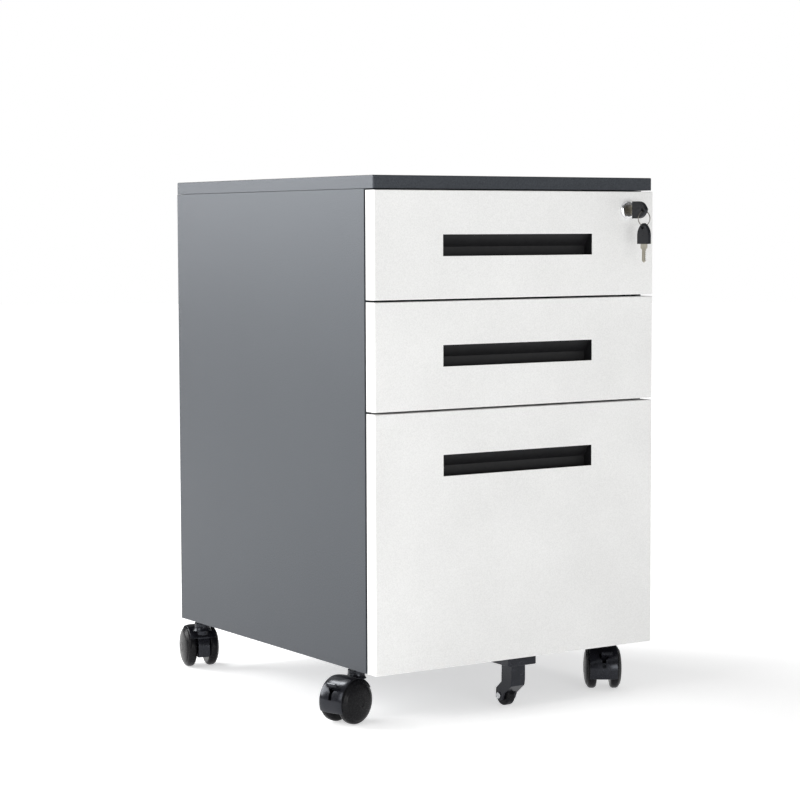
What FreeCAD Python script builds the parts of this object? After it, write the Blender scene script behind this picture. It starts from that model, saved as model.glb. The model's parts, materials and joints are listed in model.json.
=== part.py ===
import FreeCAD, Part
import math
import os

# Rolling pedestal cabinet: steel case, two box drawers, one file drawer with an anti-tip wheel,
# central lock with keys, four twin-wheel swivel casters. Millimetres, +Z up, front towards -Y.
# The origin is on the floor, under the middle of the whole outline.

# ---- driving dimensions ----
WIDTH = 380.0
DEPTH = 450.0
HEIGHT = 600.0
FACE_Y = -219.5          # plane of the drawer faces
SHEET = 0.8              # steel sheet of the case and drawers
FIT = 0.3                # gap between separate moving surfaces
RUN = 0.05               # radial clearance of a running fit

BASE_Z = 61.5            # underside of the case
COVER_H = 14.3
COVER_SETBACK = 2.5      # the cover's front edge stands behind the drawer faces
BODY_SETBACK = 21.0      # front edge of the side panels behind the faces
FRONT_T = 18.0           # depth of a folded drawer front
DRAWER_GAP = 2.3         # slit between two drawer fronts
FRONT_TOP = 584.2
BOX_FRONT_H = 117.6
RETURN_W = 8.0           # folds at the front edges of the side panels
FLANGE_W = 10.0          # folds behind a drawer front

TRAY_HALF = 169.0        # half the outside width of a drawer tray
TRAY_Y0 = FRONT_T
BOX_TRAY_LEN = 400.0
FILE_TRAY_LEN = 405.0
BOX_TRAY_H = 70.0
BOX_TRAY_RISE = 8.0      # tray floor above the lower edge of its front
FILE_TRAY_H = 250.0
FILE_TRAY_RISE = 10.0

HANDLE_HALF = 102.0
HANDLE_H = 23.5
HANDLE_DROP = 47.7       # top edge of the opening below the top edge of its front
CUP_WALL = 1.4
CUP_DEPTH = 15.0
CUP_POCKET = 8.0         # finger pocket below the opening's lower edge
CUP_RIM = 3.0

SLIDE_H = 45.0
SLIDE_T = 12.6
SLIDE_Y0 = 50.0
BOX_SLIDE_LEN = 380.0
FILE_SLIDE_LEN = 390.0
BOX_TRAVEL = 280.0       # the box drawers open this far
FILE_TRAVEL = 380.0
POST_Y = (52.0, 380.0)
POST_W = 40.0
BOX_SLIDE_RISE = 35.0    # slide centre above the tray floor
FILE_SLIDE_RISE = 120.0

LOCK_X = 152.0
LOCK_DROP = 21.0         # lock axis below the top edge of the first front
LOCK_R = 9.0
LOCK_HEAD_R = 10.0
LOCK_HEAD_T = 4.0
PLUG_R = 6.5
LOCK_LEN = 24.0
CAM_T = 2.5
PIN_R = 2.0
PIN_ORBIT = 7.5
PIN_ANGLE = 45.0         # the pin travels from 45 degrees below level to 45 above
BAR_X = 184.0
BAR_T = 2.0
BAR_Y0 = 31.0
BAR_W = 12.0
TAB_H = 5.0
CATCH_RISE = 32.0        # drawer catch above the slide centre

KEY_T = 1.8
KEY_BLADE_H = 5.0
KEY_BLADE_LEN = 14.5
KEY_SHOULDER_H = 10.0
KEY_SHOULDER_LEN = 6.5
HEAD_W = 19.4
HEAD_LEN = 23.5
HEAD_T = 4.5
HEAD_HOLE_R = 2.5
HEAD_HOLE_INSET = 4.6
HEAD_START = 12.0        # head in front of the drawer face
RING_R = 8.4
RING_WIRE_R = 0.6
RING_HANG = 1.4          # ring wire's centre off the centre of the hole that it hangs in

WHEEL_R = 25.0
WHEEL_IN = 7.8           # inner side of a wheel from the caster's middle plane
WHEEL_OUT = 22.5
TRAIL = 17.0
STEM_X = 172.0
STEM_FRONT = 70.0
STEM_REAR = 430.0
STEM_R = 4.0
COLLAR_R = 9.6
COLLAR_TOP = 57.0
HOOD_R = 27.2
HOOD_IN_R = 25.6
HOOD_HALF = 16.5
WEB_HALF = 7.2
HOOD_SKIRT_Z = 14.0
AXLE_R = 3.0
# direction in which each caster trails, in degrees from +X
CASTER_TURN = {"front_left": 196.0, "front_right": 236.7, "rear_left": 76.7, "rear_right": 20.0}
BRAKED = ("front_left", "front_right")

TIP_X = 8.0
TIP_Y = 22.0
TIP_BASE = 38.0
TIP_WHEEL_R = 12.0
TIP_WHEEL_W = 11.0
TIP_WHEEL_Z = 13.2       # its wheel hangs 1.2 mm clear of the floor
TIP_BACK = 15.0          # wheel axle behind the middle of its base
TIP_AXLE_R = 2.0

LEVER_ANGLE = 38.0       # brake lever, from level, seen from the wheel axis
LEVER_PIVOT_R = 17.0

# ---- worked-out dimensions ----
HALF = WIDTH / 2.0
COVER_Z = HEIGHT - COVER_H
BOX2_TOP = FRONT_TOP - BOX_FRONT_H - DRAWER_GAP
FILE_TOP = BOX2_TOP - BOX_FRONT_H - DRAWER_GAP
DRAWERS = {
    1: {"top": FRONT_TOP, "bottom": FRONT_TOP - BOX_FRONT_H, "rise": BOX_TRAY_RISE,
        "wall": BOX_TRAY_H, "length": BOX_TRAY_LEN, "slide": BOX_SLIDE_RISE},
    2: {"top": BOX2_TOP, "bottom": BOX2_TOP - BOX_FRONT_H, "rise": BOX_TRAY_RISE,
        "wall": BOX_TRAY_H, "length": BOX_TRAY_LEN, "slide": BOX_SLIDE_RISE},
    3: {"top": FILE_TOP, "bottom": BASE_Z, "rise": FILE_TRAY_RISE,
        "wall": FILE_TRAY_H, "length": FILE_TRAY_LEN, "slide": FILE_SLIDE_RISE},
}
LOCK_Z = FRONT_TOP - LOCK_DROP
SLIDE_X = TRAY_HALF + SLIDE_T
PIN_DROP = PIN_ORBIT * math.sin(math.radians(PIN_ANGLE))
PIN_REACH = PIN_ORBIT * math.cos(math.radians(PIN_ANGLE))
BAR_TRAVEL = 2.0 * PIN_DROP


def depth(y):
    """Y coordinate of a point that lies y behind the drawer faces."""
    return FACE_Y + y


def box(x0, x1, y0, y1, z0, z1):
    """Box between two X, two depths behind the faces and two heights."""
    return Part.makeBox(x1 - x0, y1 - y0, z1 - z0, FreeCAD.Vector(x0, depth(y0), z0))


def cylinder(radius, length, base, direction):
    return Part.makeCylinder(radius, length, FreeCAD.Vector(*base), FreeCAD.Vector(*direction))


def prism(points, move):
    """Solid from a closed polygon of 3-D points, pushed along a vector."""
    wire = Part.makePolygon([FreeCAD.Vector(*p) for p in points + points[:1]])
    return Part.Face(wire).extrude(FreeCAD.Vector(*move))


def mirror_x(shape):
    return shape.mirror(FreeCAD.Vector(0, 0, 0), FreeCAD.Vector(1, 0, 0))


def pair(shape):
    """The shape on the right and its mirror image on the left, as separate solids."""
    return Part.makeCompound([shape, mirror_x(shape)])


def save(name, shape):
    shape.exportStep("parts/%s.step" % name)


def slide_z(number):
    drawer = DRAWERS[number]
    return drawer["bottom"] + drawer["rise"] + drawer["slide"]


# ---- case ----
def side_panel():
    """Right side: skin with folds at the front, top, back and bottom."""
    z0, z1 = BASE_Z, COVER_Z - FIT
    skin = box(HALF - SHEET, HALF, BODY_SETBACK, DEPTH, z0, z1)
    front = box(HALF - RETURN_W, HALF, BODY_SETBACK, BODY_SETBACK + SHEET, z0, z1)
    hem = box(HALF - RETURN_W, HALF - RETURN_W + SHEET, BODY_SETBACK, BODY_SETBACK + RETURN_W, z0, z1)
    top = box(HALF - RETURN_W, HALF, BODY_SETBACK, DEPTH, z1 - SHEET, z1)
    bottom = box(HALF - RETURN_W, HALF, BODY_SETBACK, DEPTH, z0, z0 + SHEET)
    panel = skin.fuse([front, hem, top, bottom]).removeSplitter()
    outer = [e for e in panel.Edges if is_outer_corner(e)]
    return panel.makeFillet(SHEET * 0.7, outer)


def is_outer_corner(edge):
    """The upright outside corner at the front of the right side panel."""
    low, high = edge.BoundBox.ZMin, edge.BoundBox.ZMax
    x, y = edge.BoundBox.XMin, edge.BoundBox.YMin
    long_edge = high - low > WIDTH
    return long_edge and abs(x - HALF) < 0.01 and abs(y - depth(BODY_SETBACK)) < 0.01


def back_panel():
    """Plate between the side panels, with folds forward at all four edges."""
    half = HALF - SHEET
    z0, z1 = BASE_Z + SHEET, COVER_Z - FIT - SHEET
    outer = box(-half, half, DEPTH - RETURN_W, DEPTH, z0, z1)
    hollow = box(-half + SHEET, half - SHEET, DEPTH - RETURN_W, DEPTH - SHEET, z0 + SHEET, z1 - SHEET)
    return outer.cut(hollow)


def top_cover():
    """Lid with its edges folded down, over the side panels."""
    skirt_in = 2.0 * SHEET
    outer = box(-HALF, HALF, COVER_SETBACK, DEPTH, COVER_Z, HEIGHT)
    edges = [e for e in outer.Edges
             if e.BoundBox.ZMin > HEIGHT - 0.01 or e.BoundBox.ZLength > COVER_H - 0.1]
    outer = outer.makeFillet(1.2, edges)
    hollow = box(-HALF + skirt_in, HALF - skirt_in, COVER_SETBACK + skirt_in, DEPTH - skirt_in,
                 COVER_Z, HEIGHT - skirt_in)
    return outer.cut(hollow)


def bottom_panel():
    """Floor of the case, with its edges folded up and a hole for each caster stem."""
    half = HALF - RETURN_W
    fold = 8.5
    outer = box(-half, half, BODY_SETBACK + 2.0, DEPTH - RETURN_W, BASE_Z, BASE_Z + fold)
    hollow = box(-half + SHEET, half - SHEET, BODY_SETBACK + 2.0 + SHEET, DEPTH - RETURN_W - SHEET,
                 BASE_Z + SHEET, BASE_Z + fold)
    panel = outer.cut(hollow)
    for x, y in stem_places():
        panel = panel.cut(cylinder(STEM_R + FIT, fold, (x, depth(y), BASE_Z - 1.0), (0, 0, 1)))
    return panel


def front_rail():
    """Cross rail under the front of the cover: a channel that opens to the rear."""
    half = HALF - RETURN_W
    z0, z1 = COVER_Z - 8.6, COVER_Z - FIT
    y0, y1 = BODY_SETBACK, BODY_SETBACK + 22.0
    outer = box(-half, half, y0, y1, z0, z1)
    hollow = box(-half, half, y0 + SHEET, y1, z0 + SHEET, z1 - SHEET)
    return outer.cut(hollow)


def slide_post(y):
    """Upright hat section that carries the slides, on the right side panel."""
    z0, z1 = BASE_Z + 16.0, COVER_Z - 12.0
    lip = 7.0
    crown = box(SLIDE_X, HALF - SHEET, y + lip, y + POST_W - lip, z0, z1)
    hollow = box(SLIDE_X + 1.2, HALF - SHEET, y + lip + 1.2, y + POST_W - lip - 1.2, z0, z1)
    feet = box(HALF - SHEET - 1.2, HALF - SHEET, y, y + POST_W, z0, z1)
    feet = feet.cut(box(SLIDE_X, HALF, y + lip + 1.2, y + POST_W - lip - 1.2, z0, z1))
    return crown.cut(hollow).fuse(feet).removeSplitter()


def slide_posts():
    posts = []
    for y in POST_Y:
        post = slide_post(y)
        posts += [post, mirror_x(post)]
    return Part.makeCompound(posts)


def caster_channel(y):
    """Hat section on the case floor, over the stems of two casters."""
    half = HALF - RETURN_W - SHEET - FIT
    z0, z1 = BASE_Z + SHEET, BASE_Z + 9.0
    width, wall = 26.0, 1.5
    y0 = min(y - width / 2.0, DEPTH - RETURN_W - SHEET - FIT - width)
    outer = box(-half, half, y0, y0 + width, z0, z1)
    hollow = box(-half, half, y0 + wall, y0 + width - wall, z0, z1 - wall)
    channel = outer.cut(hollow)
    for x in (-STEM_X, STEM_X):
        channel = channel.cut(cylinder(STEM_R + FIT, 20.0, (x, depth(y), z0 - 5.0), (0, 0, 1)))
    return channel


def caster_channels():
    return Part.makeCompound([caster_channel(STEM_FRONT), caster_channel(STEM_REAR)])


def stem_places():
    """X and depth of each caster stem."""
    return [(x, y) for y in (STEM_FRONT, STEM_REAR) for x in (-STEM_X, STEM_X)]


def hexagon(across, height, center, direction):
    """Hexagonal block from a point along Y or Z."""
    radius = across / math.sqrt(3.0)
    corners = [math.radians(60.0 * i) for i in range(6)]
    cx, cy, cz = center
    if direction == "y":
        points = [(cx + radius * math.cos(a), cy, cz + radius * math.sin(a)) for a in corners]
        return prism(points, (0, height, 0))
    points = [(cx + radius * math.cos(a), cy + radius * math.sin(a), cz) for a in corners]
    return prism(points, (0, 0, height))


def caster_stem(x, y):
    """Stem with a hexagonal flange under the case, and its nut inside the channel."""
    across, nut_h = 13.0, 6.2
    center = (x, depth(y))
    stem_z = COLLAR_TOP - 16.0
    stem = cylinder(STEM_R, BASE_Z + 7.4 - stem_z, (*center, stem_z), (0, 0, 1))
    flange = hexagon(across, BASE_Z - COLLAR_TOP - FIT, (*center, COLLAR_TOP + FIT), "z")
    nut = hexagon(across, nut_h, (*center, BASE_Z + SHEET), "z")
    nut = nut.cut(cylinder(STEM_R, nut_h, (*center, BASE_Z + SHEET), (0, 0, 1)))
    return [stem.fuse(flange), nut]


def caster_stems():
    solids = []
    for x, y in stem_places():
        solids += caster_stem(x, y)
    return Part.makeCompound(solids)


# ---- drawer slides ----
def channel(web_x, lip_x, half_h, wall, y0, y1, z):
    """C section along Y: an upright web at one X, two flanges that reach to another X."""
    low, high = min(web_x, lip_x), max(web_x, lip_x)
    outer = box(low, high, y0, y1, z - half_h, z + half_h)
    inside = half_h - wall
    if web_x > lip_x:
        return outer.cut(box(low, high - wall, y0, y1, z - inside, z + inside))
    return outer.cut(box(low + wall, high, y0, y1, z - inside, z + inside))


def slide_outer(number, length):
    """Outer member on the slide posts, with rolled lips along both flanges."""
    z = slide_z(number)
    half, lip_x, lip = SLIDE_H / 2.0, TRAY_HALF + 1.6, 4.3
    y1 = SLIDE_Y0 + length
    member = channel(SLIDE_X, lip_x, half, 1.2, SLIDE_Y0, y1, z)
    upper = box(lip_x, lip_x + SHEET, SLIDE_Y0, y1, z + half - lip, z + half)
    lower = box(lip_x, lip_x + SHEET, SLIDE_Y0, y1, z - half, z - half + lip)
    return pair(member.fuse([upper, lower]).removeSplitter())


def box_slide(number):
    """Two-member slide of a box drawer: outer, ball cage, inner."""
    z = slide_z(number)
    y1 = SLIDE_Y0 + BOX_SLIDE_LEN
    cage_y = SLIDE_Y0 + BOX_TRAVEL / 2.0
    cage_len = BOX_SLIDE_LEN - BOX_TRAVEL
    inner = channel(TRAY_HALF, TRAY_HALF + 8.5, 16.2, 1.2, SLIDE_Y0, y1, z)
    cage = channel(TRAY_HALF + 10.0, TRAY_HALF + 3.4, 19.1, 0.7, cage_y, cage_y + cage_len, z)
    save("drawer_%d_slide_outer" % number, slide_outer(number, BOX_SLIDE_LEN))
    save("drawer_%d_slide_cages" % number, pair(cage))
    save("drawer_%d_slide_inner" % number, pair(inner))


def file_slide(number):
    """Three-member full-extension slide: outer, cage, middle, cage, inner."""
    z = slide_z(number)
    y1 = SLIDE_Y0 + FILE_SLIDE_LEN
    cage_y = SLIDE_Y0 + FILE_TRAVEL / 4.0
    cage_y1 = cage_y + FILE_SLIDE_LEN - FILE_TRAVEL / 2.0
    inner = channel(TRAY_HALF, TRAY_HALF + 6.3, 13.1, 1.2, SLIDE_Y0, y1, z)
    inner_cage = channel(TRAY_HALF + 7.7, TRAY_HALF + 2.6, 15.3, 0.7, cage_y, cage_y1, z)
    middle = channel(TRAY_HALF + 9.6, TRAY_HALF + 2.9, 17.8, 1.2, SLIDE_Y0, y1, z)
    outer_cage = channel(TRAY_HALF + 10.7, TRAY_HALF + 3.4, 19.9, 0.7, cage_y, cage_y1, z)
    save("drawer_%d_slide_outer" % number, slide_outer(number, FILE_SLIDE_LEN))
    save("drawer_%d_slide_outer_cages" % number, pair(outer_cage))
    save("drawer_%d_slide_middle" % number, pair(middle))
    save("drawer_%d_slide_inner_cages" % number, pair(inner_cage))
    save("drawer_%d_slide_inner" % number, pair(inner))


# ---- drawers ----
def handle_z(number):
    """Lower edge of the handle opening."""
    return DRAWERS[number]["top"] - HANDLE_DROP - HANDLE_H


def drawer_front(number):
    """Folded steel front, open behind, with its handle opening."""
    drawer = DRAWERS[number]
    z0, z1 = drawer["bottom"], drawer["top"]
    outer = box(-HALF, HALF, 0.0, FRONT_T, z0, z1)
    face = [e for e in outer.Edges if e.BoundBox.YMax < depth(0.01)]
    outer = outer.makeFillet(0.9, face)
    hollow = box(-HALF + SHEET, HALF - SHEET, SHEET, FRONT_T - SHEET, z0 + SHEET, z1 - SHEET)
    back = box(-HALF + FLANGE_W, HALF - FLANGE_W, SHEET, FRONT_T, z0 + FLANGE_W, z1 - FLANGE_W)
    hole = box(-HANDLE_HALF, HANDLE_HALF, -1.0, 2.0, handle_z(number), handle_z(number) + HANDLE_H)
    front = outer.cut(hollow.fuse([back, hole]))
    if number == 1:
        front = front.cut(cylinder(LOCK_R, 4.0, (LOCK_X, depth(-1.0), LOCK_Z), (0, 1, 0)))
    return front


def cup_profile(z, wall):
    """Side outline of the handle cup, as depth and height, grown by the wall thickness."""
    top = z + HANDLE_H
    return [(SHEET, z - wall), (SHEET, top + wall), (SHEET + 4.0 + wall, top + wall),
            (CUP_DEPTH + wall, z + 10.0 + wall), (CUP_DEPTH + wall, z - CUP_POCKET - wall),
            (SHEET + CUP_RIM - wall, z - CUP_POCKET - wall), (SHEET + CUP_RIM - wall, z - wall)]


def handle_cup(number):
    """Moulded cup behind the opening, with a finger pocket behind its lower edge."""
    z = handle_z(number)
    shapes = []
    for wall in (CUP_WALL, 0.0):
        half = HANDLE_HALF + wall
        points = [(-half, depth(y), height) for y, height in cup_profile(z, wall)]
        shapes.append(prism(points, (2.0 * half, 0, 0)))
    rim = box(-HANDLE_HALF - 6.0, HANDLE_HALF + 6.0, SHEET, SHEET + CUP_WALL, z - 5.0, z + HANDLE_H + 5.0)
    mouth = box(-HANDLE_HALF, HANDLE_HALF, SHEET, SHEET + CUP_RIM, z, z + HANDLE_H)
    return shapes[0].fuse(rim).cut(shapes[1].fuse(mouth)).removeSplitter()


def drawer_tray(number):
    """Open tray with hemmed sides and the catch for the locking bar on its right side."""
    drawer = DRAWERS[number]
    z0 = drawer["bottom"] + drawer["rise"]
    z1 = z0 + drawer["wall"]
    y1 = TRAY_Y0 + drawer["length"]
    hem, catch_reach = 4.0, 11.0
    outer = box(-TRAY_HALF, TRAY_HALF, TRAY_Y0, y1, z0, z1)
    hollow = box(-TRAY_HALF + SHEET, TRAY_HALF - SHEET, TRAY_Y0 + SHEET, y1 - SHEET, z0 + SHEET, z1 - SHEET)
    mouth = box(-TRAY_HALF + hem, TRAY_HALF - hem, TRAY_Y0 + SHEET, y1 - hem, z0 + SHEET, z1)
    z = slide_z(number) + CATCH_RISE
    y = BAR_Y0 + 6.0
    catch = box(TRAY_HALF - SHEET, TRAY_HALF + catch_reach, y, y + 3.0, z - TAB_H / 2.0, z + TAB_H / 2.0)
    return outer.cut(hollow.fuse(mouth)).fuse(catch).removeSplitter()


def file_bars():
    """Two flat bars along the top of the file tray, from which hanging files hang."""
    drawer = DRAWERS[3]
    z1 = drawer["bottom"] + drawer["rise"] + drawer["wall"]
    y0, y1 = TRAY_Y0 + SHEET, TRAY_Y0 + drawer["length"] - 4.6
    bar = box(TRAY_HALF - 6.6, TRAY_HALF - 4.6, y0, y1, z1 - 14.0, z1 + 4.0)
    foot = box(TRAY_HALF - 4.6, TRAY_HALF - SHEET, y0 + 8.0, y0 + 28.0, z1 - 14.0, z1 - 6.0)
    rear_foot = box(TRAY_HALF - 4.6, TRAY_HALF - SHEET, y1 - 28.0, y1 - 8.0, z1 - 14.0, z1 - 6.0)
    return pair(bar.fuse([foot, rear_foot]).removeSplitter())


# ---- lock ----
def lock_housing():
    """Domed head, round body through the front, and the hexagonal nut behind the sheet."""
    center = FreeCAD.Vector(LOCK_X, depth(0.0), LOCK_Z)
    body = cylinder(LOCK_R, LOCK_LEN, center, (0, 1, 0))
    head = cylinder(LOCK_HEAD_R, LOCK_HEAD_T, center, (0, -1, 0))
    rim = [e for e in head.Edges if e.BoundBox.YMax < depth(-LOCK_HEAD_T) + 0.01]
    head = head.makeFillet(2.4, rim)
    bore = cylinder(PLUG_R + RUN, LOCK_LEN + 10.0, (LOCK_X, depth(-8.0), LOCK_Z), (0, 1, 0))
    nut = hexagon(22.0, 4.0, (LOCK_X, depth(SHEET), LOCK_Z), "y")
    nut = nut.cut(cylinder(LOCK_R, 6.0, (LOCK_X, depth(0.0), LOCK_Z), (0, 1, 0)))
    return Part.makeCompound([body.fuse(head).cut(bore).removeSplitter(), nut])


def lock_plug():
    """Plug with the key's slot in its front end."""
    y0 = -LOCK_HEAD_T + 0.8
    plug = cylinder(PLUG_R, LOCK_LEN + FIT - y0, (LOCK_X, depth(y0), LOCK_Z), (0, 1, 0))
    side, tall = KEY_T / 2.0 + 0.1, KEY_BLADE_H / 2.0 + 0.1
    slot = box(LOCK_X - side, LOCK_X + side, y0, y0 + 14.0, LOCK_Z - tall, LOCK_Z + tall)
    return plug.cut(slot)


def pin_place():
    """X and height of the cam's pin when the drawers are unlocked."""
    return LOCK_X + PIN_REACH, LOCK_Z - PIN_DROP


def lock_cam():
    """Disc on the plug, with an off-centre pin towards the rear."""
    y0 = LOCK_LEN + FIT
    x, z = pin_place()
    disc = cylinder(PIN_ORBIT + PIN_R + 1.0, CAM_T, (LOCK_X, depth(y0), LOCK_Z), (0, 1, 0))
    pin = cylinder(PIN_R, CAM_T + 5.5, (x, depth(y0), z), (0, 1, 0))
    return disc.fuse(pin).removeSplitter()


def locking_bar():
    """Upright bar with a tab for each drawer and a slotted plate for the cam's pin."""
    x, z = pin_place()
    slot_half = PIN_R + 0.4
    top, bottom = z + 6.8, 200.0
    bar = box(BAR_X, BAR_X + BAR_T, BAR_Y0, BAR_Y0 + BAR_W, bottom, top)
    plate = box(LOCK_X, BAR_X + BAR_T, BAR_Y0 - 2.0, BAR_Y0, z - 6.2, top)
    slot = box(x - slot_half, x + slot_half + 3.0, BAR_Y0 - 3.0, BAR_Y0 + 1.0, z - slot_half, z + slot_half)
    tabs = []
    for number in DRAWERS:
        tab_z = slide_z(number) + CATCH_RISE - BAR_TRAVEL
        tabs.append(box(TRAY_HALF + 5.5, BAR_X + BAR_T, BAR_Y0, BAR_Y0 + 5.5,
                        tab_z - TAB_H / 2.0, tab_z + TAB_H / 2.0))
    return bar.fuse([plate] + tabs).cut(slot).removeSplitter()


def locking_bar_guides():
    """Two plastic blocks on the right side panel, each with a slot for the bar."""
    guides = []
    for z in (300.0, 480.0):
        block = box(HALF - RETURN_W, HALF - SHEET, BAR_Y0 - 1.6, BAR_Y0 + BAR_W + 1.6, z - 9.0, z + 9.0)
        slot = box(BAR_X - FIT, BAR_X + BAR_T + FIT, BAR_Y0 - FIT, BAR_Y0 + BAR_W + FIT, z - 10.0, z + 10.0)
        guides.append(block.cut(slot))
    return Part.makeCompound(guides)


# ---- keys ----
def key_head():
    """Plastic head lying in the Y-Z plane at the origin: flat edge at Y 0, rounded tip at -Y."""
    half, straight = HEAD_W / 2.0, HEAD_LEN * 0.42
    shoulder, shoulder_half = HEAD_LEN * 0.82, half * 0.62
    low, high = FreeCAD.Vector(0, 0, -half), FreeCAD.Vector(0, 0, half)
    low_turn, high_turn = FreeCAD.Vector(0, -straight, -half), FreeCAD.Vector(0, -straight, half)
    low_mid = FreeCAD.Vector(0, -shoulder, -shoulder_half)
    high_mid = FreeCAD.Vector(0, -shoulder, shoulder_half)
    tip = FreeCAD.Vector(0, -HEAD_LEN, 0)
    edges = [Part.LineSegment(low, low_turn), Part.Arc(low_turn, low_mid, tip),
             Part.Arc(tip, high_mid, high_turn), Part.LineSegment(high_turn, high),
             Part.LineSegment(high, low)]
    face = Part.Face(Part.Wire([edge.toShape() for edge in edges]))
    head = face.extrude(FreeCAD.Vector(HEAD_T, 0, 0))
    head.translate(FreeCAD.Vector(-HEAD_T / 2.0, 0, 0))
    hole = cylinder(HEAD_HOLE_R, 2.0 * HEAD_T, (-HEAD_T, HEAD_HOLE_INSET - HEAD_LEN, 0), (1, 0, 0))
    return head.cut(hole)


def key_blade():
    """Steel blade in the Y-Z plane at the origin: wide shoulder, then the narrow bitted part."""
    half, shoulder = KEY_BLADE_H / 2.0, KEY_SHOULDER_H / 2.0
    end, taper = KEY_SHOULDER_LEN + KEY_BLADE_LEN, 2.0
    outline = [(0, -shoulder), (KEY_SHOULDER_LEN - taper, -shoulder), (KEY_SHOULDER_LEN, -half),
               (end - taper, -half), (end, 0), (end - taper, half), (KEY_SHOULDER_LEN, half),
               (KEY_SHOULDER_LEN - taper, shoulder), (0, shoulder)]
    return prism([(-KEY_T / 2.0, y, z) for y, z in outline], (KEY_T, 0, 0))


def in_lock(shape):
    """Move a key part from the origin to its place in the lock."""
    placed = shape.copy()
    placed.translate(FreeCAD.Vector(LOCK_X, depth(-HEAD_START), LOCK_Z))
    return placed


def ring_center():
    """Place of the key ring's centre: it hangs from the hole in the key's head."""
    y = depth(-HEAD_START - HEAD_LEN + HEAD_HOLE_INSET)
    return FreeCAD.Vector(LOCK_X, y, LOCK_Z - RING_HANG - RING_R)


def key_ring():
    return Part.makeTorus(RING_R, RING_WIRE_R, ring_center(), FreeCAD.Vector(0, 1, 0))


def on_ring(shape):
    """Hang a key part from the bottom of the ring, head up."""
    placed = shape.copy()
    placed.translate(FreeCAD.Vector(0, HEAD_LEN - HEAD_HOLE_INSET, 0))
    placed.rotate(FreeCAD.Vector(0, 0, 0), FreeCAD.Vector(1, 0, 0), -90.0)
    placed.translate(ring_center() - FreeCAD.Vector(0, 0, RING_R + RING_HANG))
    return placed


# ---- casters: built with the stem on the Z axis and the wheels behind it on +X ----
def revolve_wheel():
    """Wheel with a rounded tread and a domed outer face, on the +Y side."""
    v = [FreeCAD.Vector(TRAIL, y, WHEEL_R + r) for y, r in (
        (WHEEL_IN, 0.0), (WHEEL_IN, 21.5), (8.9, 24.0), (12.0, WHEEL_R), (14.5, WHEEL_R),
        (19.1, 22.4), (21.2, 17.0), (22.1, 11.0), (WHEEL_OUT, 5.0), (WHEEL_OUT, 0.0))]
    edges = [Part.LineSegment(v[0], v[1]), Part.Arc(v[1], v[2], v[3]), Part.LineSegment(v[3], v[4]),
             Part.Arc(v[4], v[5], v[6]), Part.Arc(v[6], v[7], v[8]), Part.LineSegment(v[8], v[9]),
             Part.LineSegment(v[9], v[0])]
    face = Part.Face(Part.Wire([edge.toShape() for edge in edges]))
    wheel = face.revolve(FreeCAD.Vector(TRAIL, 0, WHEEL_R), FreeCAD.Vector(0, 1, 0), 360.0)
    bore = cylinder(AXLE_R + RUN, 9.6, (TRAIL, WHEEL_IN - 1.0, WHEEL_R), (0, 1, 0))
    return wheel.cut(bore)


def across(radius, half_width):
    """Cylinder on the wheel axis, as wide on both sides of the middle plane."""
    return cylinder(radius, 2.0 * half_width, (TRAIL, -half_width, WHEEL_R), (0, 1, 0))


def polar(radius, angle):
    """Point in the middle plane at a radius and an angle in degrees from the wheel axis."""
    turn = math.radians(angle)
    return (TRAIL + radius * math.cos(turn), 0.0, WHEEL_R + radius * math.sin(turn))


def brake_pocket():
    """Recess in the hood for the brake lever: a round well and a narrow slot below it."""
    start = polar(LEVER_PIVOT_R - 3.4, LEVER_ANGLE)
    end = polar(HOOD_R + 3.0, LEVER_ANGLE)
    way = [b - a for a, b in zip(start, end)]
    well = cylinder(5.5, HOOD_R + 6.4 - LEVER_PIVOT_R, start, way)
    low, high = polar(HOOD_R + 3.0, 8.0), polar(21.0, 8.0)
    corners = [low, high, polar(21.0, LEVER_ANGLE), end]
    slot = prism([(x, -2.3, z) for x, y, z in corners], (0, 4.6, 0))
    return well.fuse(slot)


def caster_hood(braked):
    """Hood: a central web with the axle bore, a band over both wheels, and the stem collar."""
    band = across(HOOD_R, HOOD_HALF).cut(across(HOOD_IN_R, HOOD_HALF + 1.0))
    front_cut = 2.0 * HOOD_R
    edge = polar(HOOD_R, 152.0)
    band = band.cut(Part.makeBox(front_cut, front_cut, front_cut * 2.0,
                                 FreeCAD.Vector(edge[0] - front_cut, -HOOD_R, -HOOD_R)))
    web = across(HOOD_IN_R + 0.2, WEB_HALF)
    collar_z = 46.8
    collar = cylinder(COLLAR_R, COLLAR_TOP - collar_z, (0, 0, collar_z), (0, 0, 1))
    rim = [e for e in collar.Edges if e.BoundBox.ZMin > COLLAR_TOP - 0.01]
    collar = collar.makeFillet(1.0, rim)
    hood = band.fuse([web, collar])
    floor_cut = Part.makeBox(4.0 * HOOD_R, 4.0 * HOOD_R, HOOD_SKIRT_Z + HOOD_R,
                             FreeCAD.Vector(-2.0 * HOOD_R, -2.0 * HOOD_R, -HOOD_R))
    hood = hood.cut(floor_cut).cut(across(AXLE_R, HOOD_HALF))
    hood = hood.cut(cylinder(STEM_R + RUN, 18.0, (0, 0, COLLAR_TOP - 17.0), (0, 0, 1)))
    if braked:
        hood = hood.cut(brake_pocket())
    return hood.removeSplitter()


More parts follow.
